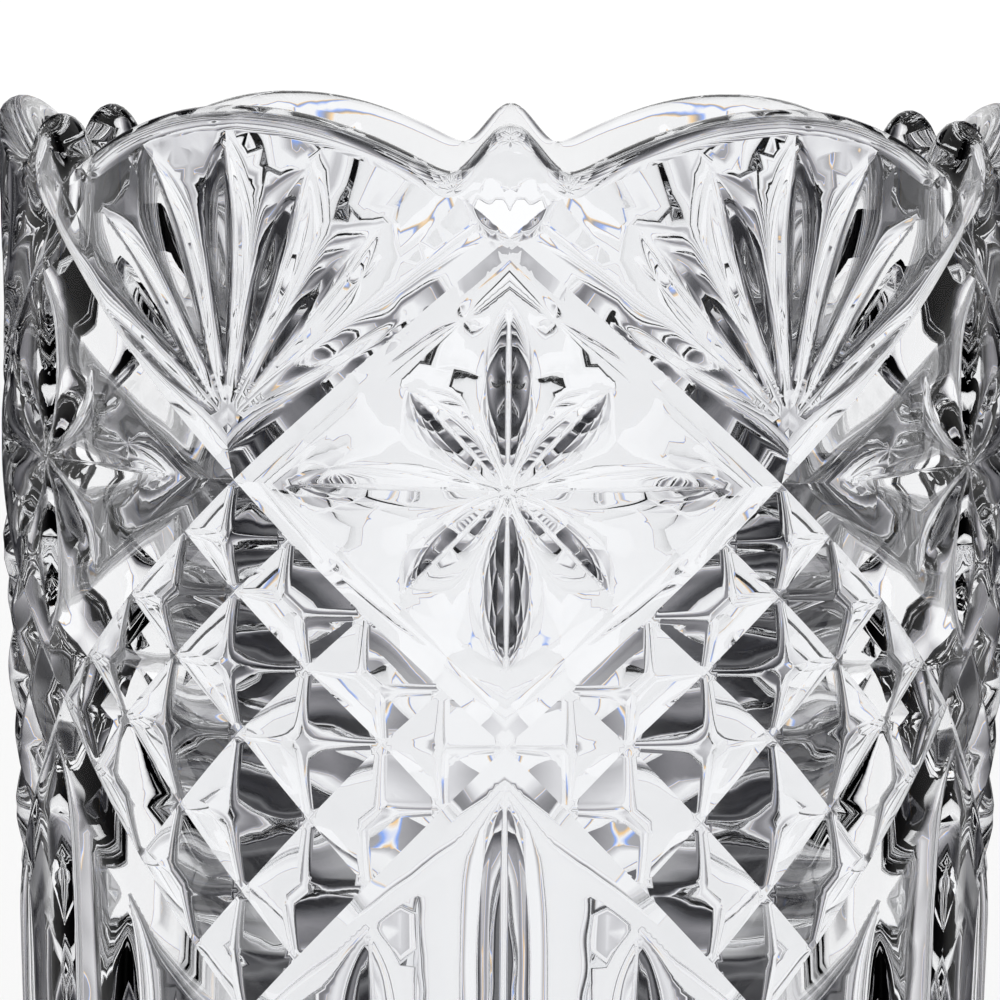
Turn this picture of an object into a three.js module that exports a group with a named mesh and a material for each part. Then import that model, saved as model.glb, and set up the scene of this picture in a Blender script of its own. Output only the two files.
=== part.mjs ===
// Cut crystal vase: one piece of clear glass, open at the top, with a scalloped rim.
// A six-fold lattice of mitre grooves divides the outside into star panels, hobnail panels,
// fans under the arches of the rim, and tall flutes that run down to the foot.
// Millimetres, +Z up, origin at the centre of the flat base.
import * as THREE from "three";

// Blank, before cutting
const HEIGHT = 230; // base to the top of an arch of the rim
const RIM_RADIUS = 64; // outside, at the rim
const TAPER = 0.0236; // radius lost for each millimetre down from the rim
const FOOT_TUCK = 3; // extra radius lost at the foot
const TUCK_HEIGHT = 125; // the tuck starts here and grows downwards
const FOOT_BEVEL = 2;

// Inside
const WALL_AT_RIM = 5.5;
const WALL_AT_FLOOR = 8;
const FLOOR_THICKNESS = 18;
const FLOOR_FILLET = 14;
const LIP = 1.6; // rounding of the rim's two edges

// Rim: six arches with a small knob between each pair
const REPEATS = 6;
const SECTOR = 360 / REPEATS; // degrees from one knob to the next
const ARCH_RISE = 7.2; // valley of the rim to the top of an arch
const KNOB_RISE = 5.6; // valley of the rim to the top of a knob
const KNOB_HALF_ANGLE = 6.7; // degrees from the top of a knob to the valley beside it

// Lattice: knots lie at whole steps down, alternately under a knob and under an arch
const LATTICE_LEVELS = [215.8, 187.7, 158.5, 125.3]; // heights of the knots of steps 0 to 3
const LATTICE_STEPS = LATTICE_LEVELS.length - 1;
const MITRE_DEPTH = 1.4;
const HOBNAIL_SHIFT = 0.06; // the outer hobnails of a panel are smaller by this part of a step

// Star, at step 1 under each knob
const FACET_SLOPE = 0.5; // depth over half-width of every V cut
const STAR_VERTICAL = { length: 20.8, halfWidth: 3.1 };
const STAR_LEVEL = { length: 23.6, halfWidth: 2.6 };
const STAR_DIAGONAL = { length: 15.2, halfWidth: 2.3 };

// Fan, under each arch
const FAN_HEIGHT = 195.6; // where its flutes meet
const FAN_SPACING = 20; // degrees between flutes
const FAN_SIDE_FLUTES = 3; // on each side of the upright one
const FAN_FLUTE = { length: 30.5, halfWidth: 3 };

// Flutes below the lattice: degrees from the knob's line, and height of the upper tip
const LOW_FLUTES = [
  { angle: 0, tip: 154.5 },
  { angle: 15, tip: 134 },
  { angle: 30, tip: 117 },
];
const LOW_FLUTE_HALF_WIDTH = 3.9;
const LOW_FLUTE_END = 7;
const LOW_FLUTE_TAPER = 24; // length over which a flute's tip widens

// Mesh
const STEP_ROWS = 8; // rows in one lattice step
const STEP_DEGREES = SECTOR / 2; // one lattice step sideways
const COLUMNS = 2 * REPEATS * STEP_ROWS;
const COLUMN_ANGLE = 360 / COLUMNS;
const RIM_ROWS = 3;
const FLUTE_ROWS = 8;
const WALL_ROWS = 4;
const FILLET_ROWS = 3;

const radians = THREE.MathUtils.degToRad;
const lerp = THREE.MathUtils.lerp;

function outerRadius(z) {
  const tuck = Math.max(0, (TUCK_HEIGHT - z) / TUCK_HEIGHT);
  return RIM_RADIUS - TAPER * (HEIGHT - z) - FOOT_TUCK * tuck * tuck;
}

function innerRadius(z) {
  const down = (HEIGHT - z) / (HEIGHT - FLOOR_THICKNESS);
  return outerRadius(z) - lerp(WALL_AT_RIM, WALL_AT_FLOOR, down);
}

// Degrees from the nearest knob's line, 0 to half a sector
function fromKnob(angle) {
  const turned = THREE.MathUtils.euclideanModulo(angle, SECTOR);
  return Math.min(turned, SECTOR - turned);
}

function rimHeight(angle) {
  const away = fromKnob(angle);
  const valley = HEIGHT - ARCH_RISE;
  if (away < KNOB_HALF_ANGLE) {
    return valley + (KNOB_RISE * (1 + Math.cos((Math.PI * away) / KNOB_HALF_ANGLE))) / 2;
  }
  const along = (SECTOR / 2 - away) / (SECTOR / 2 - KNOB_HALF_ANGLE);
  return HEIGHT - ARCH_RISE * along * along;
}

function latticeHeight(step) {
  const knot = Math.min(Math.floor(step), LATTICE_STEPS - 1);
  return lerp(LATTICE_LEVELS[knot], LATTICE_LEVELS[knot + 1], step - knot);
}

// Lattice panels: a counts steps down to the right, b counts steps down to the left
function panelAt(a, b) {
  return { right: Math.floor(a / 2), left: Math.floor(b / 2) };
}

function isHobnail(a, b) {
  const panel = panelAt(a, b);
  return panel.right + panel.left === 1;
}

function shifted(steps) {
  return steps - HOBNAIL_SHIFT * Math.sin(Math.PI * steps);
}

// Depth of a V cut of lens outline: along runs from 0 to 1, aside is the distance from its bottom line
function lensCut(along, aside, halfWidth) {
  if (along <= 0 || along >= 1) {
    return 0;
  }
  return Math.max(0, FACET_SLOPE * (halfWidth * Math.sin(Math.PI * along) ** 0.7 - aside));
}

// A petal starts at the origin of (across, up) and points in the given direction
function petalCut(across, up, direction, petal) {
  const x = Math.sin(direction);
  const y = Math.cos(direction);
  const along = (across * x + up * y) / petal.length;
  return lensCut(along, Math.abs(across * y - up * x), petal.halfWidth);
}

function starCut(across, up) {
  let depth = 0;
  for (let eighth = 0; eighth < 8; eighth += 1) {
    const petal = eighth % 2 ? STAR_DIAGONAL : eighth % 4 ? STAR_LEVEL : STAR_VERTICAL;
    depth = Math.max(depth, petalCut(across, up, (eighth * Math.PI) / 4, petal));
  }
  return depth;
}

function fanCut(across, up) {
  let depth = 0;
  for (let flute = -FAN_SIDE_FLUTES; flute <= FAN_SIDE_FLUTES; flute += 1) {
    depth = Math.max(depth, petalCut(across, up, radians(flute * FAN_SPACING), FAN_FLUTE));
  }
  return depth;
}

function lowFluteCut(angle, z) {
  let depth = 0;
  for (const flute of LOW_FLUTES) {
    const aside = radians(Math.abs(fromKnob(angle) - flute.angle)) * outerRadius(z);
    const opening = THREE.MathUtils.clamp((flute.tip - z) / LOW_FLUTE_TAPER, 0, 1);
    const closing = THREE.MathUtils.clamp((z - LOW_FLUTE_END) / LOW_FLUTE_TAPER, 0, 1);
    const halfWidth = LOW_FLUTE_HALF_WIDTH * Math.sqrt(opening * closing);
    depth = Math.max(depth, FACET_SLOPE * (halfWidth - aside));
  }
  return depth;
}

function hobnailCut(a, b) {
  const half = 0.25; // half the spacing of hobnail grooves, in steps
  const toGroove = (steps) => Math.abs(steps * 2 - Math.round(steps * 2)) / 2;
  return MITRE_DEPTH * (1 - Math.min(toGroove(a), toGroove(b)) / half);
}

function mitreCut(a, b) {
  const onLine = (steps) => Math.abs(steps / 2 - Math.round(steps / 2)) < 1e-6;
  return onLine(a) || onLine(b) ? MITRE_DEPTH : 0;
}

// Distances on the unrolled surface from a point on a knob's line (0) or an arch's line (half a sector)
function unrolled(angle, z, centreAngle, centreHeight) {
  const from = THREE.MathUtils.euclideanModulo(angle - centreAngle + SECTOR / 2, SECTOR) - SECTOR / 2;
  return { across: radians(from) * outerRadius(z), up: z - centreHeight };
}

function fanDepth(angle, z) {
  const place = unrolled(angle, z, SECTOR / 2, FAN_HEIGHT);
  return fanCut(place.across, place.up);
}

function latticeDepth(a, b, angle, z) {
  const panel = panelAt(a, b);
  const row = panel.right + panel.left;
  if (row === 1) {
    return hobnailCut(a, b);
  }
  if (row === 0) {
    const place = unrolled(angle, z, 0, LATTICE_LEVELS[1]);
    return Math.max(mitreCut(a, b), starCut(place.across, place.up));
  }
  if (row < 0) {
    return Math.max(mitreCut(a, b), fanDepth(angle, z));
  }
  return Math.max(mitreCut(a, b), lowFluteCut(angle, z));
}

function pointAt(radius, angle, z) {
  const turn = radians(angle - 90);
  return [radius * Math.cos(turn), radius * Math.sin(turn), z];
}

function ring(place) {
  return Array.from({ length: COLUMNS }, (_, column) => place(column * COLUMN_ANGLE, column));
}

function latticeRing(row) {
  return ring((angle) => {
    const down = row / STEP_ROWS;
    const aside = angle / STEP_DEGREES;
    const a = down + aside;
    const b = down - aside;
    const shift = isHobnail(a, b) ? shifted : (steps) => steps;
    const z = latticeHeight(THREE.MathUtils.clamp((shift(a) + shift(b)) / 2, 0, LATTICE_STEPS));
    const turned = ((shift(a) - shift(b)) / 2) * STEP_DEGREES;
    return pointAt(outerRadius(z) - latticeDepth(a, b, turned, z), turned, z);
  });
}

function fluteRing(z) {
  return ring((angle) => pointAt(outerRadius(z) - lowFluteCut(angle, z), angle, z));
}

function rimRing(part) {
  return ring((angle) => {
    const z = lerp(LATTICE_LEVELS[0], rimHeight(angle) - LIP, part);
    return pointAt(outerRadius(z) - fanDepth(angle, z), angle, z);
  });
}

// Rings of the whole section, from the middle of the base up the outside and down the inside
function rings() {
  const list = [];
  list.push(ring((angle) => pointAt(outerRadius(0) - FOOT_BEVEL, angle, 0)));
  list.push(ring((angle) => pointAt(outerRadius(FOOT_BEVEL), angle, FOOT_BEVEL)));
  for (let row = 0; row < FLUTE_ROWS; row += 1) {
    list.push(fluteRing(lerp(LOW_FLUTE_END, LATTICE_LEVELS[LATTICE_STEPS], row / FLUTE_ROWS)));
  }
  for (let row = LATTICE_STEPS * STEP_ROWS; row >= 0; row -= 1) {
    list.push(latticeRing(row));
  }
  for (let row = 1; row <= RIM_ROWS; row += 1) {
    list.push(rimRing(row / RIM_ROWS));
  }
  list.push(ring((angle) => pointAt(outerRadius(HEIGHT) - LIP, angle, rimHeight(angle))));
  list.push(ring((angle) => pointAt(innerRadius(HEIGHT) + LIP, angle, rimHeight(angle))));
  const filletTop = FLOOR_THICKNESS + FLOOR_FILLET;
  for (let row = 0; row <= WALL_ROWS; row += 1) {
    list.push(ring((angle) => {
      const z = lerp(rimHeight(angle) - LIP, filletTop, row / WALL_ROWS);
      return pointAt(innerRadius(z), angle, z);
    }));
  }
  for (let row = 1; row <= FILLET_ROWS; row += 1) {
    const turn = (Math.PI / 2) * (row / FILLET_ROWS);
    const radius = innerRadius(filletTop) - FLOOR_FILLET * (1 - Math.cos(turn));
    list.push(ring((angle) => pointAt(radius, angle, filletTop - FLOOR_FILLET * Math.sin(turn))));
  }
  return list;
}

function closedBody(list) {
  const positions = [0, 0, 0];
  list.forEach((one) => one.forEach((point) => positions.push(...point)));
  const last = positions.length / 3;
  positions.push(0, 0, FLOOR_THICKNESS);
  const index = [];
  const at = (row, column) => 1 + row * COLUMNS + (column % COLUMNS);
  for (let column = 0; column < COLUMNS; column += 1) {
    index.push(0, at(0, column + 1), at(0, column));
    index.push(last, at(list.length - 1, column), at(list.length - 1, column + 1));
    for (let row = 0; row + 1 < list.length; row += 1) {
      const corner = [at(row, column), at(row, column + 1), at(row + 1, column + 1), at(row + 1, column)];
      const turned = (row + column) % 2 === 0;
      const [p, q, r, s] = turned ? corner : [corner[1], corner[2], corner[3], corner[0]];
      index.push(p, q, r, p, r, s);
    }
  }
  const geometry = new THREE.BufferGeometry();
  geometry.setAttribute("position", new THREE.Float32BufferAttribute(positions, 3));
  geometry.setIndex(index);
  return geometry;
}

const crystal = new THREE.MeshStandardMaterial({ color: 0xe9eef2, roughness: 0.04, metalness: 0 });

const vase = new THREE.Mesh(closedBody(rings()), crystal);
vase.name = "vase";

const object = new THREE.Group();
object.add(vase);

export default object;
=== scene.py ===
"""Cut crystal vase: a fine, feature-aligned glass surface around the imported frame, in a pale studio."""
import math
from collections import namedtuple
from itertools import product
import bmesh
import bpy
import numpy as np
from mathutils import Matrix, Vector
from mathutils.geometry import delaunay_2d_cdt


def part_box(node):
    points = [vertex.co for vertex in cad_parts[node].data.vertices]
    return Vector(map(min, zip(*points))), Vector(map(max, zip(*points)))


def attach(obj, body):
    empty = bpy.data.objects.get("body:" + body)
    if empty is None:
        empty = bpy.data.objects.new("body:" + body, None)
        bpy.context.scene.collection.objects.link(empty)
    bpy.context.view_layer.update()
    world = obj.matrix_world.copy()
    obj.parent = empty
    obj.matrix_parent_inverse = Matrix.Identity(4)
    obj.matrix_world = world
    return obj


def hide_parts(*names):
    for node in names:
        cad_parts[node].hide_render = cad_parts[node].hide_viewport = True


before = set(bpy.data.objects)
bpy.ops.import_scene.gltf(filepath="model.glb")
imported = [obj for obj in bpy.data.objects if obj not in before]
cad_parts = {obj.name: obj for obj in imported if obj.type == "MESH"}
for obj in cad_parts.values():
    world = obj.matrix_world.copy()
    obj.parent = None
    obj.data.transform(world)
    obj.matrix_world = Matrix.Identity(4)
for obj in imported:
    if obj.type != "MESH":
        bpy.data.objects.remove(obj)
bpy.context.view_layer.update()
low_corner, high_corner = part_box("vase")

# Lengths below are in the vase's design millimetres, 230 of them from base to rim
HEIGHT = 230.0
MM = (high_corner[2] - low_corner[2]) / HEIGHT

# Blank: it narrows towards the foot and has a slight belly behind the pattern
RIM_RADIUS = 64.0
TAPER = 0.0236
FOOT_TUCK = 3.0
TUCK_HEIGHT = 125.0
BELLY = 0.7
BELLY_HEIGHT = 178.0
BELLY_REACH = 22.0
FOOT_ROUND = 2.5
WALL_AT_RIM = 5.4
WALL_AT_FLOOR = 9.5
WALL_BULGE = 2.5
FLOOR = 18.0
FLOOR_FILLET = 14.0
LIP = 2.9

# Star cut under the base: degrees between its rays, radius, depth and radius of its innermost ring
BASE_RAY = 15.0
BASE_STAR = 44.0
BASE_DEPTH = 2.2
BASE_HUB = 2.0

# Rim: the curve of an arch runs on under the knobs, down to ARCH_RUN_ON below the valleys
SECTOR = 60.0
SECTORS = int(360 / SECTOR)
HALF = SECTOR / 2
ARCH_RISE = 7.2
ARCH_RUN_ON = 2.0
KNOB_RISE = 5.6
KNOB_HALF_ANGLE = 6.7
VALLEY_ROUND = 1.3

# Lattice: heights of its knots, a step apart; a panel or hobnail field is PANEL steps each way.
# Laid flat, a degree is PER_DEGREE wide and half a sector WIDE.
LEVELS = np.array([215.8, 187.7, 158.5, 125.3])
PER_DEGREE = 1.098
WIDE = HALF * PER_DEGREE
STEP_ACROSS = 22.2
PANEL = 2
MITRE_DEPTH = 1.5
MITRE_SLOPE = 0.5
TAIL_ANGLE = 4.0
HOBNAIL_RISE = 1.75
HOBNAIL_REACH = 5.6
HOBNAIL_FULLNESS = 1.6
HOBNAIL_LINES = (0.0, 0.44, 1.0, 1.56, 2.0)

# Star: direction in degrees from straight up, length, half-width
CUT_SLOPE = 0.4
CUT_CUSP = 0.11
STAR_PETALS = (
    (0.0, 20.8, 3.1),
    (45.0, 15.2, 2.6),
    (90.0, 24.6, 2.6),
    (135.0, 15.6, 2.6),
    (180.0, 20.9, 3.1),
)
STAR_FULLNESS = 2.7
STAR_SKEW = 1.1

# Fan
FAN_HEIGHT = 194.5
FAN_START = 2.5
FAN_FLUTES = ((0.0, 31.5, 2.3), (20.0, 31.0, 2.3), (40.0, 29.5, 2.2), (60.0, 27.0, 1.8))
FAN_FULLNESS = 2.4
FAN_SKEW = 1.35

# Low flutes: degrees from the knob's line, height of the tip, half-width
LOW_FLUTES = ((0.0, 154.4, 3.8), (14.4, 137.0, 3.6), (30.0, 119.0, 3.6))
LOW_FULLNESS = 15.0
LOW_CUSP = 0.05
LOW_END = 7.0

# Fire polish: how far ridges are rounded
EDGE_ROUND = 0.8
RIDGE_ROUND = 0.6
GROOVE_ROUND = 0.2
FLUTE_ROUND = 0.9
HOBNAIL_ROUND = 1.2

# Mesh: every COARSE-th grid point is kept anywhere, the rest only where the cutting bends by over BEND.
# Strip lines are in half-widths of a cut, and shoulder lines in millimetres from a mitre.
FINE = 0.5
COARSE = 4
BEND = 0.05
STRIP_STEP = 0.8
STRIP_LINES = (-1.5, -1.2, -0.95, -0.7, -0.4, -0.14, 0.14, 0.4, 0.7, 0.95, 1.2, 1.5)
LOW_STEP = 1.0
LOW_STRIP_LINES = (-1.4, -1.1, -0.85, -0.45, -0.14, 0.14, 0.45, 0.85, 1.1, 1.4)
SHOULDER_LINES = (1.6, 2.1, 2.5, 2.9, 3.3, 3.7, 4.2)
SHOULDER_REACH = 4.6
HOBNAIL_STEP = 0.45
CREASE_STEP = 1.0
BORDER_STEP = 0.8
KNOB_COLUMNS = 15
ARCH_COLUMNS = 15
KNOB_REACH = 9.0
LIP_ROWS = 9
WALL_ROWS = 8
FILLET_ROWS = 7
FLOOR_RINGS = (0.75, 0.5, 0.25)
FOOT_ROWS = 3
BASE_ROWS = 5
CLEARANCE = 0.2
SIDE_MARGIN = 0.3
RIM_MARGIN = 0.6
SQUEEZE = 0.2
SQUEEZE_FROM = 116.0
INSIDE_OUTLINE = 1
WELD = 1e-4
MERGE = 0.01
SLIVER = 0.001

# Shading
CRISP_ANGLE = 40.0
CUT_MARK = "cut_surface"
NORMAL_INSET = 0.006
NORMAL_STEP = 0.002
TINY = 1e-9

# Glass: a clear crystal with a faint ripple, and reflections toned down by a grey specular tint, painted
# shade standing in for a dark room on the camera side
CLEAR_GLASS = (0.945, 0.95, 0.96, 1.0)
GLASS_INDEX = 1.53
GLINT = 0.3
RIPPLE_SCALE = 90.0
RIPPLE_HEIGHT = 0.00014
BOUNCES = 24

# Studio, in metres
WORLD_STRENGTH = 1.05
FLOOR_WHITE = 0.9
FLOOR_ROUGHNESS = 0.9
FLOOR_RADIUS = 4.0
FLOOR_SIDES = 96
QUARTERS = 4
HALF_QUARTER = 45.0
WINDOW = 17.0
FLAG_DISTANCE = 0.19
FLAG_FOOT = 0.005
FLAG_FADED_IN = 0.06
FLAG_TOP = 0.5
WHITE = (1.0, 1.0, 1.0)

# Across a flag: degrees past the edge of its window, which reaches WINDOW degrees each way, and the colour
# it glows with: white for painted light, greys to near black for painted shade, amber and blue for painted
# rainbow fringes
FLAG_COLUMNS = (
    (-6.9, (1.0, 1.0, 1.0)),
    (-6.7, (1.0, 0.72, 0.42)),
    (-6.45, (0.42, 0.41, 0.43)),
    (-6.2, (0.36, 0.52, 1.0)),
    (-6.0, (1.0, 1.0, 1.0)),
    (0.0, (1.0, 1.0, 1.0)),
    (3.0, (0.8, 0.795, 0.81)),
    (6.0, (0.55, 0.545, 0.56)),
    (7.0, (0.48, 0.475, 0.49)),
    (7.2, (1.0, 0.66, 0.3)),
    (7.45, (1.0, 1.0, 1.0)),
    (7.7, (0.28, 0.46, 1.0)),
    (7.9, (0.42, 0.415, 0.43)),
    (11.0, (0.24, 0.235, 0.25)),
    (15.0, (0.11, 0.11, 0.12)),
    (18.0, (0.04, 0.04, 0.046)),
    (20.0, (0.0165, 0.0165, 0.02)),
    (23.5, (0.0165, 0.0165, 0.02)),
    (26.0, (0.09, 0.09, 0.096)),
    (HALF_QUARTER - WINDOW, (0.16, 0.16, 0.166)),
)

# Camera: eight rim radii away, a little above the rim and looking slightly down
CAMERA_DISTANCE = 8.0 * RIM_RADIUS
CAMERA_HEIGHT = HEIGHT + 0.1387 * RIM_RADIUS
CAMERA_PITCH = 6.63
CAMERA_YAW = 0.162
CAMERA_ROLL = -0.48
CAMERA_SENSOR = 36.0
CAMERA_LENS = 4.069 * CAMERA_SENSOR


def outer_radius(z):
    tuck = np.maximum(0.0, (TUCK_HEIGHT - z) / TUCK_HEIGHT)
    belly = np.exp(-(((z - BELLY_HEIGHT) / BELLY_REACH) ** 2))
    return RIM_RADIUS - TAPER * (HEIGHT - z) - FOOT_TUCK * tuck * tuck + BELLY * belly


def inner_radius(z):
    up = np.minimum((z - FLOOR) / (HEIGHT - FLOOR), 1.0)
    return outer_radius(z) - WALL_AT_RIM - (WALL_AT_FLOOR - WALL_AT_RIM) * (1 - up ** WALL_BULGE)


def soft_above(value, width):
    """Zero below -width, the value itself above width, and a parabola between."""
    bend = (value + width) ** 2 / (4 * width)
    return np.where(value > width, value, np.where(value < -width, 0.0, bend))


def soft_max(first, second, width):
    near = np.maximum(width - np.abs(first - second), 0.0)
    return np.maximum(first, second) + near * near / (4 * width)


def rim_height(angle):
    """Height of the rim at an angle from a knob, 0 to HALF degrees."""
    along = (HALF - angle) / (HALF - KNOB_HALF_ANGLE)
    arch = -ARCH_RISE * along * along
    knob = KNOB_RISE * (1 + np.cos(np.pi * np.minimum(angle / KNOB_HALF_ANGLE, 1.0))) / 2 - ARCH_RISE
    return HEIGHT + soft_max(np.maximum(arch, -ARCH_RISE - ARCH_RUN_ON), knob, VALLEY_ROUND)


def height_of(step):
    """Height of a lattice step, carried on in line past both ends."""
    steps = np.arange(len(LEVELS))
    inside = np.interp(step, steps, LEVELS)
    above = LEVELS[0] + np.maximum(-step, 0.0) * (LEVELS[0] - LEVELS[1])
    below = LEVELS[-1] - np.maximum(step - steps[-1], 0.0) * (LEVELS[-2] - LEVELS[-1])
    return np.where(step < 0, above, np.where(step > steps[-1], below, inside))


def step_of(z):
    steps = np.arange(len(LEVELS))
    inside = np.interp(-z, -LEVELS, steps)
    above = -(z - LEVELS[0]) / (LEVELS[0] - LEVELS[1])
    below = steps[-1] + (LEVELS[-1] - z) / (LEVELS[-2] - LEVELS[-1])
    return np.where(z > LEVELS[0], above, np.where(z < LEVELS[-1], below, inside))


def to_line(count):
    """Distance in millimetres from the nearest hobnail groove of one direction."""
    return np.min([np.abs(count - line) for line in HOBNAIL_LINES], axis=0) * STEP_ACROSS


def hobnail_cut(right, left):
    """Pillowed pyramids: steep at the grooves and rounding off towards the point."""
    nearest = -soft_max(-to_line(right - PANEL), -to_line(left), HOBNAIL_ROUND)
    left_over = np.clip(1 - nearest / HOBNAIL_REACH, 0.0, 1.0)
    return MITRE_DEPTH - HOBNAIL_RISE * (1 - left_over ** HOBNAIL_FULLNESS)


def in_hobnails(right, left):
    return (left >= 0) & (left <= PANEL) & (right > PANEL)


def lens(along, fullness, skew):
    """Relative half-width of a cut along its length: 1 at its widest, negative past its ends."""
    bent = np.sign(along) * np.abs(along) ** skew
    return 1 - np.abs(2 * bent - 1) ** fullness


# A petal or flute, from start to end along a direction in degrees clockwise from straight up
Cut = namedtuple("Cut", "centre direction start end half_width fullness skew bottom cusp")


def star_cuts():
    centre = (0.0, LEVELS[1])
    shape = (STAR_FULLNESS, STAR_SKEW, GROOVE_ROUND, CUT_CUSP)
    return [Cut(centre, direction, 0.0, length, width, *shape) for direction, length, width in STAR_PETALS]


def fan_cuts():
    centre = (WIDE, FAN_HEIGHT)
    shape = (FAN_FULLNESS, FAN_SKEW, FLUTE_ROUND, CUT_CUSP)
    return [
        Cut(centre, -direction, FAN_START, length, width, *shape)
        for direction, length, width in FAN_FLUTES
    ]


def low_cuts():
    downwards = 180.0
    shape = (LOW_FULLNESS, 1.0, GROOVE_ROUND, LOW_CUSP)
    return [
        Cut((angle * PER_DEGREE, tip), downwards, 0.0, tip - LOW_END, width, *shape)
        for angle, tip, width in LOW_FLUTES
    ]


def in_cut(cut, x, z):
    """Distances along a cut and to the right of its middle line, and its half-width there."""
    turn = math.radians(cut.direction)
    east, north = x - cut.centre[0], z - cut.centre[1]
    along = east * math.sin(turn) + north * math.cos(turn)
    aside = east * math.cos(turn) - north * math.sin(turn)
    return along, aside, lens((along - cut.start) / (cut.end - cut.start), cut.fullness, cut.skew)


def radial_cut(cut, x, z):
    """Depth of one petal or flute: gentle at its edges, steep towards its slightly rounded bottom."""
    _, aside, opening = in_cut(cut, x, z)
    blunt = cut.bottom * np.maximum(opening, 0.0)
    inward = cut.half_width * opening - (np.hypot(aside, blunt) - blunt)
    return CUT_SLOPE * inward + cut.cusp * np.maximum(inward, 0.0) ** 2


def deepest(cuts, x, z):
    """Depth of several cuts together, with rounded ridges where one runs into another."""
    depths = [radial_cut(cut, x, z) for cut in cuts]
    total = depths[0]
    for depth in depths[1:]:
        total = soft_max(total, depth, RIDGE_ROUND)
    return total


def mitre_cut(steps_away):
    return MITRE_DEPTH - MITRE_SLOPE * np.abs(steps_away) * STEP_ACROSS


def tail_cut(right, x):
    """The crossing mitre line runs on a little past the top knot and fades out."""
    fade = x / (TAIL_ANGLE * PER_DEGREE)
    return mitre_cut(right) - MITRE_DEPTH * fade * fade


def depth_at(x, z):
    """Depth of the cutting below the blank, for distances x across and heights z in a half sector."""
    step = step_of(z)
    aside = x / WIDE
    right, left = step + aside, step - aside
    hobnail = hobnail_cut(right, left)
    upper, lower = mitre_cut(left), mitre_cut(left - PANEL)
    mitres = np.maximum(np.maximum(upper, mitre_cut(right - PANEL)), lower)
    fan = soft_max(deepest(fan_cuts(), x, z), upper, RIDGE_ROUND)
    fan = soft_max(fan, tail_cut(right, x), RIDGE_ROUND)
    star = soft_max(deepest(star_cuts(), x, z), mitres, RIDGE_ROUND)
    low = soft_max(deepest(low_cuts(), x, z), lower, RIDGE_ROUND)
    smooth = soft_above(np.where(left < 0, fan, np.where(left > PANEL, low, star)), EDGE_ROUND)
    return np.where(in_hobnails(right, left), hobnail, smooth)


def squeezed(z):
    """Heights below the pattern are squeezed while the mesh is made, because only long flutes run there."""
    return np.where(z < SQUEEZE_FROM, SQUEEZE_FROM - (SQUEEZE_FROM - z) * SQUEEZE, z)


def unsqueezed(y):
    return np.where(y < SQUEEZE_FROM, SQUEEZE_FROM - (SQUEEZE_FROM - y) / SQUEEZE, y)


def run(start, end):
    """Points from start to end, no further apart than CREASE_STEP."""
    start, end = np.array(start, float), np.array(end, float)
    count = max(1, math.ceil(np.linalg.norm(end - start) / CREASE_STEP))
    return [tuple(start + (end - start) * i / count) for i in range(count + 1)]


def lattice_point(right, left):
    return ((right - left) / 2 * HALF * PER_DEGREE, float(height_of((right + left) / 2)))


def lattice_run(start, end):
    """A lattice line, given as its two ends in (right, left) steps."""
    first, last = lattice_point(*start), lattice_point(*end)
    count = max(1, math.ceil(math.dist(first, last) / CREASE_STEP))
    parts = [i / count for i in range(count + 1)]
    return [
        lattice_point(start[0] + (end[0] - start[0]) * t, start[1] + (end[1] - start[1]) * t)
        for t in parts
    ]


def lattice_creases():
    tail = TAIL_ANGLE / HALF
    lines = [
        lattice_run((0, 0), (PANEL, 0)),
        lattice_run((PANEL, 0), (PANEL, PANEL)),
        lattice_run((PANEL, PANEL), (2 * PANEL, PANEL)),
        lattice_run((0, 0), (0, -2 * tail)),
    ]
    for line in HOBNAIL_LINES[1:-1]:
        lines.append(lattice_run((PANEL + line, line), (PANEL + line, PANEL)))
        lines.append(lattice_run((PANEL, line), (PANEL + line, line)))
    return lines


def spot_in(cut, along, aside):
    turn = math.radians(cut.direction)
    east = along * math.sin(turn) + aside * math.cos(turn)
    north = along * math.cos(turn) - aside * math.sin(turn)
    return cut.centre[0] + east, cut.centre[1] + north


def spoke(cut):
    return run(spot_in(cut, cut.start, 0.0), spot_in(cut, cut.end, 0.0))


def low_strip_points(cut):
    """Points in upright lines along a low flute."""
    x, tip = cut.centre
    rows = np.arange(float(squeezed(LOW_END)), float(squeezed(tip)), LOW_STEP)
    y, part = np.meshgrid(rows, LOW_STRIP_LINES)
    z = unsqueezed(y).ravel()
    opening = lens((tip - z) / cut.end, cut.fullness, cut.skew)
    return np.stack([x + part.ravel() * cut.half_width * np.maximum(opening, 0.0), y.ravel()], axis=1)


def strip_points(cut, others):
    """Points in lines that follow the outline of a petal or flute, kept where it is the deepest cut."""
    along, part = np.meshgrid(np.arange(cut.start + STRIP_STEP, cut.end, STRIP_STEP), STRIP_LINES)
    opening = lens((along - cut.start) / (cut.end - cut.start), cut.fullness, cut.skew)
    aside = part * cut.half_width * np.maximum(opening, 0.0)
    x, z = spot_in(cut, along.ravel(), aside.ravel())
    own = radial_cut(cut, x, z)
    rest = np.max([radial_cut(other, x, z) for other in others], axis=0)
    return np.stack([x, squeezed(z)], axis=1)[own > rest]


def near_cut(cut, x, z):
    along, aside, opening = in_cut(cut, x, z)
    inside = (along > cut.start) & (along < cut.end)
    return inside & (np.abs(aside) < cut.half_width * STRIP_LINES[-1] * np.maximum(opening, 0.0))


def shoulder_points():
    """Points in lines beside the mitre grooves, where the grooves round over into the plain bands."""
    points = []
    for line in SHOULDER_LINES:
        away = line / STEP_ACROSS
        far = PANEL - away
        below = PANEL + away
        points += lattice_run((away, away), (far, away))
        points += lattice_run((far, away), (far, far))
        points += lattice_run((-away, -away), (far, -away))
        points += lattice_run((below, below), (2 * PANEL + away, below))
    x, z = np.array(points).T
    free = ~np.any([near_cut(cut, x, z) for cut in star_cuts() + fan_cuts() + low_cuts()], axis=0)
    return np.stack([x, squeezed(z)], axis=1)[free]


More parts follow.
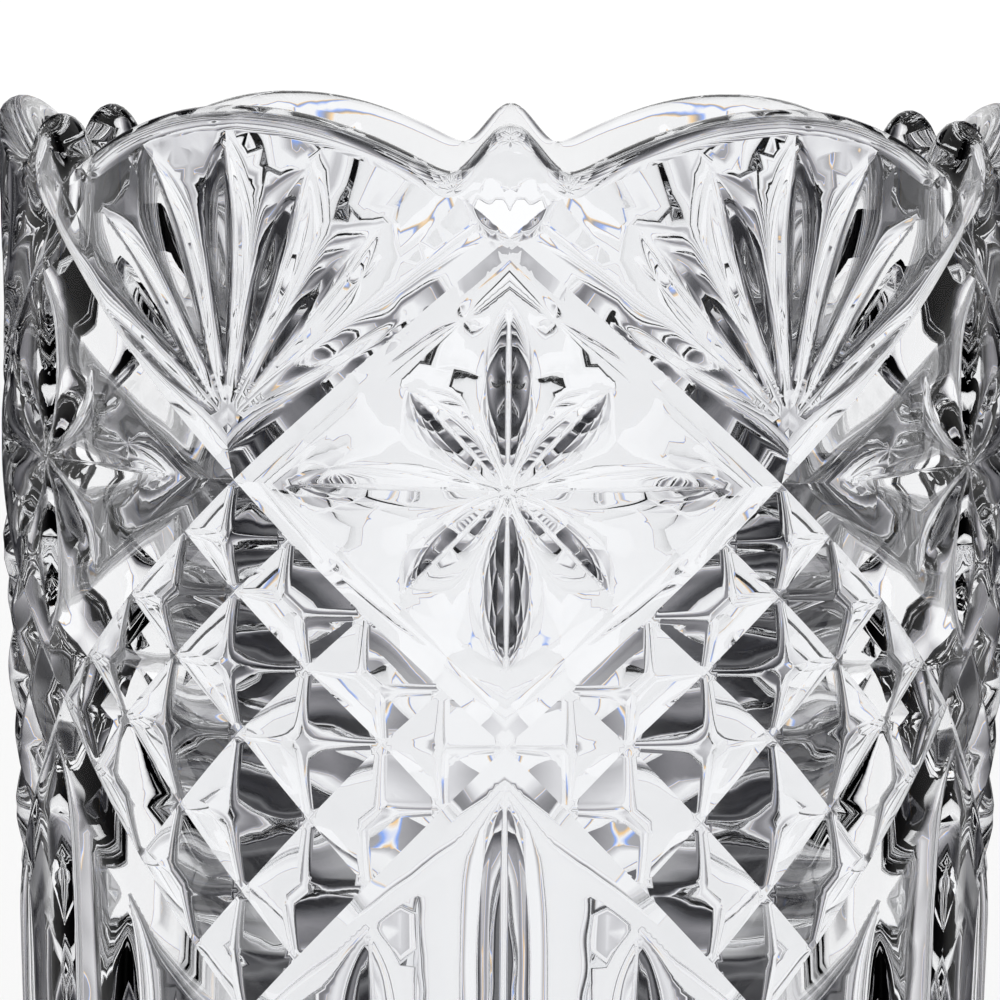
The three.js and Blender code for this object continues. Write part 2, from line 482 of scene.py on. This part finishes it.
def room_beside(line, way):
    """Distance from a hobnail groove to half-way to the next groove on one side."""
    return abs(HOBNAIL_LINES[line + way] - HOBNAIL_LINES[line]) * STEP_ACROSS / 2


def hobnail_points():
    """Points in three rows along each ridge that climbs a hobnail from a crossing of the grooves."""
    points = []
    count = len(HOBNAIL_LINES)
    ways = (-1, 1)
    for i, j, to_right, to_left in product(range(count), range(count), ways, ways):
        if not (0 <= i + to_right < count and 0 <= j + to_left < count):
            continue
        room_right = room_beside(i, to_right)
        room_left = room_beside(j, to_left)
        for climb in np.arange(HOBNAIL_STEP, min(room_right, room_left), HOBNAIL_STEP):
            for side in (-HOBNAIL_ROUND / 2, 0.0, HOBNAIL_ROUND / 2):
                on_right, on_left = climb + side, climb - side
                if CLEARANCE < on_right <= room_right and CLEARANCE < on_left <= room_left:
                    right = PANEL + HOBNAIL_LINES[i] + to_right * on_right / STEP_ACROSS
                    left = HOBNAIL_LINES[j] + to_left * on_left / STEP_ACROSS
                    points.append(lattice_point(right, left))
    x, z = np.array([point for point in points if point[0] < WIDE]).T
    return np.stack([x, squeezed(z)], axis=1)


def beside_mitre(right, left):
    """True on the shoulders of a mitre groove, except at the top knot, and anywhere among the hobnails."""
    near = SHOULDER_REACH / STEP_ACROSS
    star_side = (left > 0) & (left < PANEL) & ((left < near) | (right > PANEL - near))
    beside = (np.abs(left) < near) | (np.abs(left - PANEL) < near) | star_side
    top_knot = (np.abs(right) < near) & (left < near)
    return in_hobnails(right, left) | (beside & ~top_knot)


def cut_creases():
    lines = [spoke(cut) for cut in star_cuts()[1:-1] + fan_cuts()[1:]]
    for cut in low_cuts()[1:-1]:
        x, tip = cut.centre
        column = run((x, float(squeezed(tip))), (x, float(squeezed(LOW_END))))
        lines.append([(x, float(unsqueezed(y))) for _, y in column])
    return lines


def half_columns():
    """Angles of the upright rows of points from a knob to the middle of an arch, closer at the knob."""
    knob = np.linspace(0, KNOB_REACH, KNOB_COLUMNS + 1)
    arch = np.linspace(KNOB_REACH, HALF, ARCH_COLUMNS + 1)
    return np.concatenate([knob, arch[1:]])


def border():
    """Outline of the half sector, anticlockwise from the foot under a knob."""
    angles = half_columns()
    foot = [(a * PER_DEGREE, FOOT_ROUND) for a in angles]
    top = [(a * PER_DEGREE, float(rim_height(a)) - LIP) for a in angles]
    marks_right = [FOOT_ROUND, LOW_FLUTES[-1][1], LEVELS[3], LEVELS[1], FAN_HEIGHT + FAN_START, top[-1][1]]
    marks_left = [FOOT_ROUND, LOW_FLUTES[0][1], LEVELS[2], LEVELS[1], LEVELS[0], top[0][1]]
    right = upright(WIDE, marks_right)
    left = upright(0.0, marks_left)
    return foot + right[1:-1] + top[::-1] + left[1:-1][::-1]


def upright(x, marks):
    """An upright line of points through the given heights, evenly spaced between each two of them."""
    points = [(x, marks[0])]
    for low, high in zip(marks, marks[1:]):
        bottom, top = float(squeezed(low)), float(squeezed(high))
        count = max(1, math.ceil((top - bottom) / BORDER_STEP))
        points += [(x, float(unsqueezed(bottom + (top - bottom) * i / count))) for i in range(1, count + 1)]
    return points


def staggered_grid():
    """Places x and squeezed heights y of a staggered grid over the half sector, and its sparse points."""
    columns = int(round(WIDE / FINE))
    bottom = float(squeezed(FOOT_ROUND))
    rows = int((HEIGHT - bottom) / FINE)
    column, row = np.meshgrid(np.arange(1, columns), np.arange(1, rows), indexing="ij")
    x = (column + 0.5 * (row % 2)) * WIDE / columns
    y = bottom + row * FINE
    return x, y, (column % COARSE == 0) & (row % COARSE == 0)


def most_bend(x, y):
    """How much deeper the cutting is on both sides of a place, in the sharpest of four directions."""

    def depth(dx, dy):
        return depth_at(np.clip(x + dx, 0, WIDE), unsqueezed(y + dy))

    middle = depth_at(x, unsqueezed(y))
    ways = ((FINE, 0), (0, FINE), (FINE, FINE), (FINE, -FINE))
    return np.max([depth(dx, dy) + depth(-dx, -dy) - 2 * middle for dx, dy in ways], axis=0)


def grid_points():
    """Grid points where no structured points lie: dense along rounded ridges, sparse on plain facets."""
    x, y, sparse = staggered_grid()
    z = unsqueezed(y)
    in_petal = np.any([near_cut(cut, x, z) for cut in star_cuts() + fan_cuts() + low_cuts()], axis=0)
    step, aside = step_of(z), x / WIDE
    taken = in_petal | beside_mitre(step + aside, step - aside)
    below_rim = z < rim_height(x / PER_DEGREE) - LIP - RIM_MARGIN
    inside = below_rim & (x > SIDE_MARGIN) & (x < WIDE - SIDE_MARGIN)
    keep = ((most_bend(x, y) > BEND) | sparse) & ~taken & inside
    return np.stack([x[keep], y[keep]], axis=1)


def fill_points(lines):
    """All the points that lie free between the lines, without those that are too close to a line."""
    points = [grid_points(), hobnail_points(), shoulder_points()]
    for family in (star_cuts(), fan_cuts()):
        points += [strip_points(cut, [other for other in family if other != cut]) for cut in family]
    points += [low_strip_points(cut) for cut in low_cuts()]
    points = np.concatenate(points)
    points = points[(points[:, 0] > CLEARANCE) & (points[:, 0] < WIDE - CLEARANCE)]
    on_lines = np.array([(px, float(squeezed(pz))) for line in lines for px, pz in line])
    clear = np.array([np.min(np.hypot(*(on_lines - p).T)) > CLEARANCE for p in points])
    return points[clear]


def half_sector():
    """Vertices (x, z) and triangles of the outside over half a sector."""
    lines = lattice_creases() + cut_creases()
    outline = border()
    points, edges = [], []

    def add(line, closed=False):
        first = len(points)
        points.extend(Vector((px, float(squeezed(pz)))) for px, pz in line)
        count = len(line)
        edges.extend((first + i, first + (i + 1) % count) for i in range(count if closed else count - 1))

    add(outline, closed=True)
    for line in lines:
        add(line)
    points.extend(Vector(p) for p in fill_points(lines + [outline]))
    verts, _, faces, *_ = delaunay_2d_cdt(points, edges, [], INSIDE_OUTLINE, WELD, False)
    flat = np.array([tuple(v) for v in verts])
    x, z = flat[:, 0], unsqueezed(flat[:, 1])
    columns = half_columns()
    inside = [
        list(face) for face in faces
        if np.mean(z[face]) < np.interp(np.mean(x[face]) / PER_DEGREE, columns, rim_height(columns) - LIP)
    ]
    return x, z, inside


def around(radius, angle, z):
    """Point at an angle from the front, which is -Y."""
    turn = np.radians(angle)
    return np.stack([radius * np.sin(turn), -radius * np.cos(turn), z], axis=-1)


def add_outside(mesh):
    mark = mesh.faces.layers.int.new(CUT_MARK)
    x, z, faces = half_sector()
    radius = outer_radius(z) - depth_at(np.clip(x, 0, WIDE), z)
    for sector in range(SECTORS):
        for side in (1, -1):
            spots = around(radius, sector * SECTOR + side * x / PER_DEGREE, z)
            verts = [mesh.verts.new(spot) for spot in spots]
            for face in faces:
                order = face if side == 1 else face[::-1]
                mesh.faces.new([verts[k] for k in order])[mark] = 1


def outside_normals(spots, inner_spots):
    """Exact normals of the cut surface at spots, each judged a hair towards its own face's middle."""
    towards = inner_spots - spots
    length = np.maximum(np.linalg.norm(towards, axis=1, keepdims=True), TINY)
    spots = spots + towards / length * NORMAL_INSET
    angle = np.degrees(np.arctan2(spots[:, 0], -spots[:, 1]))
    turned = np.mod(angle + HALF, SECTOR) - HALF
    x, side, z = np.abs(turned) * PER_DEGREE, np.sign(turned), spots[:, 2]

    def radius(dx, dz):
        return outer_radius(z + dz) - depth_at(np.maximum(x + dx, 0.0), z + dz)

    step = NORMAL_STEP
    around_slope = side * (radius(step, 0) - radius(-step, 0)) / (2 * step)
    up_slope = (radius(0, step) - radius(0, -step)) / (2 * step)
    turn = np.radians(angle)
    out = np.stack([np.sin(turn), -np.cos(turn), np.zeros_like(turn)], axis=1)
    right = np.stack([np.cos(turn), np.sin(turn), np.zeros_like(turn)], axis=1)
    stretch = PER_DEGREE * np.degrees(1.0) / radius(0, 0)
    normals = out - right * (around_slope * stretch)[:, None]
    normals[:, 2] = -up_slope
    return normals / np.linalg.norm(normals, axis=1, keepdims=True)


def polish(data):
    """Shade the cut surface by its exact shape: smooth over rounded ridges and crisp in the grooves."""
    corners = len(data.loops)
    vertex_of = np.empty(corners, int)
    data.loops.foreach_get("vertex_index", vertex_of)
    spots = np.empty(len(data.vertices) * 3)
    data.vertices.foreach_get("co", spots)
    spots = spots.reshape(-1, 3) / MM
    normals = np.empty(corners * 3, np.float32)
    data.corner_normals.foreach_get("vector", normals)
    normals = normals.reshape(-1, 3)
    sides = np.empty(len(data.polygons), int)
    data.polygons.foreach_get("loop_total", sides)
    face_of = np.repeat(np.arange(len(sides)), sides)
    sums = [np.bincount(face_of, spots[vertex_of, axis]) for axis in range(3)]
    middles = np.stack(sums, axis=1) / sides[:, None]
    cut = np.empty(len(sides), int)
    data.attributes[CUT_MARK].data.foreach_get("value", cut)
    chosen = cut[face_of] == 1
    normals[chosen] = outside_normals(spots[vertex_of[chosen]], middles[face_of[chosen]])
    data.normals_split_custom_set(normals)


def column_angles():
    half = half_columns()
    one = np.concatenate([half[:-1], SECTOR - half[:0:-1]])
    return np.concatenate([one + sector * SECTOR for sector in range(SECTORS)])


def folded(angle):
    turned = np.mod(angle, SECTOR)
    return np.minimum(turned, SECTOR - turned)


def lip_rings(angles, rim):
    edge = rim - LIP
    outer = outer_radius(edge) - depth_at(folded(angles) * PER_DEGREE, edge)
    inner = inner_radius(edge)
    rings = []
    for row in range(LIP_ROWS + 1):
        turn = math.pi * row / LIP_ROWS
        lean = math.cos(turn)
        rise = math.sin(turn)
        rings.append(around((outer + inner) / 2 + lean * (outer - inner) / 2, angles, edge + LIP * rise))
    return rings


def wall_rings(angles, rim):
    rings = []
    fillet_top = FLOOR + FLOOR_FILLET
    for part in np.linspace(0, 1, WALL_ROWS + 1)[1:]:
        z = (rim - LIP) * (1 - part) + fillet_top * part
        rings.append(around(inner_radius(z), angles, z))
    radius = inner_radius(fillet_top)
    for turn in np.linspace(0, math.pi / 2, FILLET_ROWS + 1)[1:]:
        out = radius - FLOOR_FILLET * (1 - math.cos(turn))
        rings.append(around(out, angles, np.full_like(angles, fillet_top - FLOOR_FILLET * math.sin(turn))))
    for part in FLOOR_RINGS:
        rings.append(around((radius - FLOOR_FILLET) * part, angles, np.full_like(angles, FLOOR)))
    return rings


def base_rings(angles):
    """The foot's rounding, the flat ring that it stands on and the star cut inside the ring."""
    foot = outer_radius(FOOT_ROUND)
    rings = []
    for turn in np.linspace(0, math.pi / 2, FOOT_ROWS + 1):
        out = foot - FOOT_ROUND * (1 - math.cos(turn))
        rings.append(around(out, angles, np.full_like(angles, FOOT_ROUND * (1 - math.sin(turn)))))
    ray = np.abs(np.mod(angles / BASE_RAY + 0.5, 1.0) - 0.5) * 2
    for radius in np.linspace(BASE_STAR, BASE_HUB, BASE_ROWS + 1):
        opening = math.sin(math.pi * (BASE_STAR - radius) / BASE_STAR)
        rings.append(around(radius, angles, BASE_DEPTH * opening * (1 - ray)))
    return rings


def add_rings(mesh, rings):
    rows = [[mesh.verts.new(spot) for spot in ring] for ring in rings]
    for upper, lower in zip(rows, rows[1:]):
        for k in range(len(upper)):
            after = (k + 1) % len(upper)
            mesh.faces.new([upper[k], lower[k], lower[after], upper[after]])
    hub = mesh.verts.new((0.0, 0.0, sum(v.co.z for v in rows[-1]) / len(rows[-1])))
    for k in range(len(rows[-1])):
        mesh.faces.new([rows[-1][k], hub, rows[-1][(k + 1) % len(rows[-1])]])


def make_vase():
    mesh = bmesh.new()
    add_outside(mesh)
    angles = column_angles()
    rim = rim_height(folded(angles))
    add_rings(mesh, lip_rings(angles, rim) + wall_rings(angles, rim))
    add_rings(mesh, base_rings(angles))
    bmesh.ops.remove_doubles(mesh, verts=mesh.verts, dist=MERGE)
    bmesh.ops.dissolve_degenerate(mesh, edges=mesh.edges, dist=SLIVER)
    bmesh.ops.triangulate(mesh, faces=mesh.faces[:])
    bmesh.ops.recalc_face_normals(mesh, faces=mesh.faces)
    bmesh.ops.scale(mesh, vec=(MM, MM, MM), verts=mesh.verts)
    data = bpy.data.meshes.new("crystal_vase")
    mesh.to_mesh(data)
    mesh.free()
    data.shade_smooth()
    data.set_sharp_from_angle(angle=math.radians(CRISP_ANGLE))
    polish(data)
    vase = bpy.data.objects.new("crystal_vase", data)
    bpy.context.scene.collection.objects.link(vase)
    return vase


def crystal_material():
    material = bpy.data.materials.new("crystal")
    material.use_nodes = True
    nodes, links = material.node_tree.nodes, material.node_tree.links
    shader = nodes["Principled BSDF"]
    shader.inputs["Base Color"].default_value = CLEAR_GLASS
    shader.inputs["Roughness"].default_value = 0.0
    shader.inputs["IOR"].default_value = GLASS_INDEX
    shader.inputs["Transmission Weight"].default_value = 1.0
    # The grey specular tint dims the reflections, most where they face straight on: painted shade of a dark
    # room on the camera side.
    shader.inputs["Specular Tint"].default_value = (GLINT, GLINT, GLINT, 1)
    place = nodes.new("ShaderNodeTexCoord")
    ripple = nodes.new("ShaderNodeTexNoise")
    ripple.inputs["Scale"].default_value = RIPPLE_SCALE
    ripple.inputs["Detail"].default_value = 1.0
    bump = nodes.new("ShaderNodeBump")
    bump.inputs["Strength"].default_value = 1.0
    bump.inputs["Distance"].default_value = RIPPLE_HEIGHT
    links.new(place.outputs["Object"], ripple.inputs["Vector"])
    links.new(ripple.outputs["Fac"], bump.inputs["Height"])
    links.new(bump.outputs["Normal"], shader.inputs["Normal"])
    return material


def floor_material():
    material = bpy.data.materials.new("pale_floor")
    material.use_nodes = True
    shader = material.node_tree.nodes["Principled BSDF"]
    shader.inputs["Base Color"].default_value = (FLOOR_WHITE, FLOOR_WHITE, FLOOR_WHITE, 1)
    shader.inputs["Roughness"].default_value = FLOOR_ROUGHNESS
    return material


def make_floor():
    bpy.ops.mesh.primitive_circle_add(
        vertices=FLOOR_SIDES, radius=FLOOR_RADIUS, fill_type="NGON", location=(0, 0, 0)
    )
    floor = bpy.context.object
    floor.name = "studio_floor"
    floor.data.materials.append(floor_material())


def painted_flag_material():
    material = bpy.data.materials.new("painted_shade_and_glow_sheet")
    material.use_nodes = True
    nodes, links = material.node_tree.nodes, material.node_tree.links
    nodes.clear()
    # The sheet glows with its painted colours: painted light, painted shade and painted rainbow fringes.
    colour = nodes.new("ShaderNodeAttribute")
    colour.attribute_name = "painted_light_and_shade"
    glow = nodes.new("ShaderNodeEmission")
    out = nodes.new("ShaderNodeOutputMaterial")
    links.new(colour.outputs["Color"], glow.inputs["Color"])
    links.new(glow.outputs["Emission"], out.inputs["Surface"])
    return material


def make_flag(name, quarter, side, material):
    """An upright sheet bent round the vase, seen only in the glass: painted shade in its dark bands,
    painted light in its white parts, painted rainbow fringes in its amber and blue lines, and a foot that
    fades out.
    """
    mesh = bmesh.new()
    painted_light_and_shade = mesh.verts.layers.float_color.new("painted_light_and_shade")
    rows = []
    for angle, colour in FLAG_COLUMNS:
        turn = math.radians(360 / QUARTERS * quarter + side * (WINDOW + angle))
        x, y = FLAG_DISTANCE * math.cos(turn), FLAG_DISTANCE * math.sin(turn)
        column = []
        for height, shade in ((FLAG_FOOT, WHITE), (FLAG_FADED_IN, colour), (FLAG_TOP, colour)):
            vert = mesh.verts.new((x, y, height))
            vert[painted_light_and_shade] = (*shade, 1.0)
            column.append(vert)
        rows.append(column)
    for first, second in zip(rows, rows[1:]):
        for low, high in ((0, 1), (1, 2)):
            mesh.faces.new((first[low], second[low], second[high], first[high]))
    data = bpy.data.meshes.new(name)
    mesh.to_mesh(data)
    mesh.free()
    flag = bpy.data.objects.new(name, data)
    bpy.context.scene.collection.objects.link(flag)
    data.materials.append(material)
    # Hidden from the camera, the floor's light and shadows, so the flags' painted colours show only in the
    # glass's reflections and refractions.
    flag.visible_camera = False
    flag.visible_diffuse = False
    flag.visible_shadow = False


def make_flags():
    """Flags of painted shade, painted light and painted rainbow fringes on both sides of each of the
    windows, which are in front, behind and at the two sides.
    """
    glow = painted_flag_material()
    for quarter in range(QUARTERS):
        for side in (-1, 1):
            make_flag(f"flag_{quarter}_{'left' if side < 0 else 'right'}", quarter, side, glow)


def make_world():
    world = bpy.data.worlds.new("studio")
    bpy.context.scene.world = world
    world.use_nodes = True
    back = world.node_tree.nodes["Background"]
    back.inputs["Color"].default_value = (*WHITE, 1)
    back.inputs["Strength"].default_value = WORLD_STRENGTH


def make_camera():
    data = bpy.data.cameras.new("camera")
    camera = bpy.data.objects.new("camera", data)
    bpy.context.scene.collection.objects.link(camera)
    data.sensor_width = CAMERA_SENSOR
    data.lens = CAMERA_LENS
    camera.location = (0, -CAMERA_DISTANCE * MM, CAMERA_HEIGHT * MM)
    turns = (90 - CAMERA_PITCH, CAMERA_ROLL, CAMERA_YAW)
    camera.rotation_euler = [math.radians(turn) for turn in turns]
    bpy.context.scene.camera = camera


make_camera()
make_world()
make_floor()
make_flags()
vase = make_vase()
vase.data.materials.append(crystal_material())
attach(vase, "root")
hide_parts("vase")
scene = bpy.context.scene
scene.view_settings.view_transform = "Standard"
scene.cycles.max_bounces = BOUNCES
scene.cycles.transmission_bounces = BOUNCES
